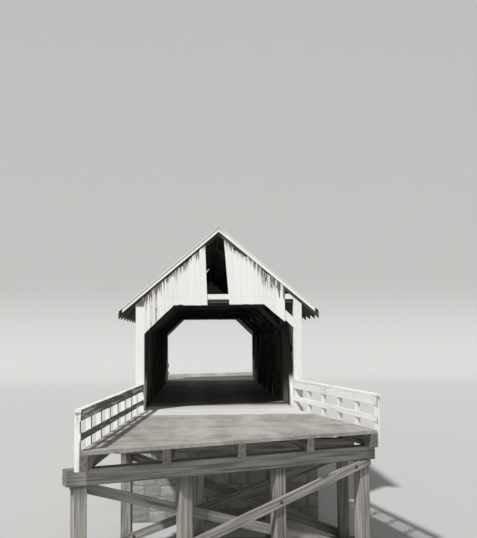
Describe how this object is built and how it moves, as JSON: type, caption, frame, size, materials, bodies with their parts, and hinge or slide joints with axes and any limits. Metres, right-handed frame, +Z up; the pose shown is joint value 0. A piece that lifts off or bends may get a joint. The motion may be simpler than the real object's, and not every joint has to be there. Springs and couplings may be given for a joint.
{
  "type": "covered bridge",
  "caption": "Whitewashed timber covered bridge with gabled portals, side trusses, shingle roof, stone abutments and flared trestle approaches with guard rails.",
  "frame": {"origin": "on the ground below mid-span, on the bridge's centre line", "axes": "+Y along the bridge, from the pictured portal to the far one; +X to the right of someone who walks in at the pictured portal; +Z up"},
  "size_m": [6.8196, 34.3342, 8.2819],
  "materials": {
    "whitewashed_boards": "worn whitewash on sawn boards",
    "inside_timber": "old sawn timber, darkened under the roof",
    "weathered_timber": "bare timber, weathered grey",
    "deck_planks": "worn and dusty planks",
    "shingles": "split shingles, weathered grey",
    "masonry": "rough coursed stone"
  },
  "bodies": {
    "root": {"approach_decks": "deck_planks", "approach_stringers": "weathered_timber", "corner_posts": "whitewashed_boards", "deck": "deck_planks", "far_abutment": "masonry", "far_gable_left": "whitewashed_boards", "far_gable_right": "whitewashed_boards", "floor_beams": "inside_timber", "gable_haunches": "whitewashed_boards", "header_boards": "whitewashed_boards", "knee_boards": "whitewashed_boards", "knee_braces": "inside_timber", "left_bottom_chord": "inside_timber", "left_girts": "inside_timber", "left_rake_boards": "whitewashed_boards", "left_roof_boards": "inside_timber", "left_shingles": "shingles", "left_siding": "whitewashed_boards", "left_top_chord": "inside_timber", "left_truss_braces": "inside_timber", "left_truss_posts": "inside_timber", "mid_rails": "whitewashed_boards", "near_abutment": "masonry", "near_gable_left": "whitewashed_boards", "near_gable_right": "whitewashed_boards", "portal_ties": "inside_timber", "rafters": "inside_timber", "rail_caps": "whitewashed_boards", "rail_posts": "whitewashed_boards", "ridge_board": "inside_timber", "right_bottom_chord": "inside_timber", "right_girts": "inside_timber", "right_rake_boards": "whitewashed_boards", "right_roof_boards": "inside_timber", "right_shingles": "shingles", "right_siding": "whitewashed_boards", "right_top_chord": "inside_timber", "right_truss_braces": "inside_timber", "right_truss_posts": "inside_timber", "stringers": "inside_timber", "threshold_planks": "deck_planks", "tie_beams": "inside_timber", "top_rails": "whitewashed_boards", "trestle_braces": "weathered_timber", "trestle_caps": "weathered_timber", "trestle_posts": "weathered_timber", "trestle_sills": "weathered_timber"}
  },
  "joints": []
}
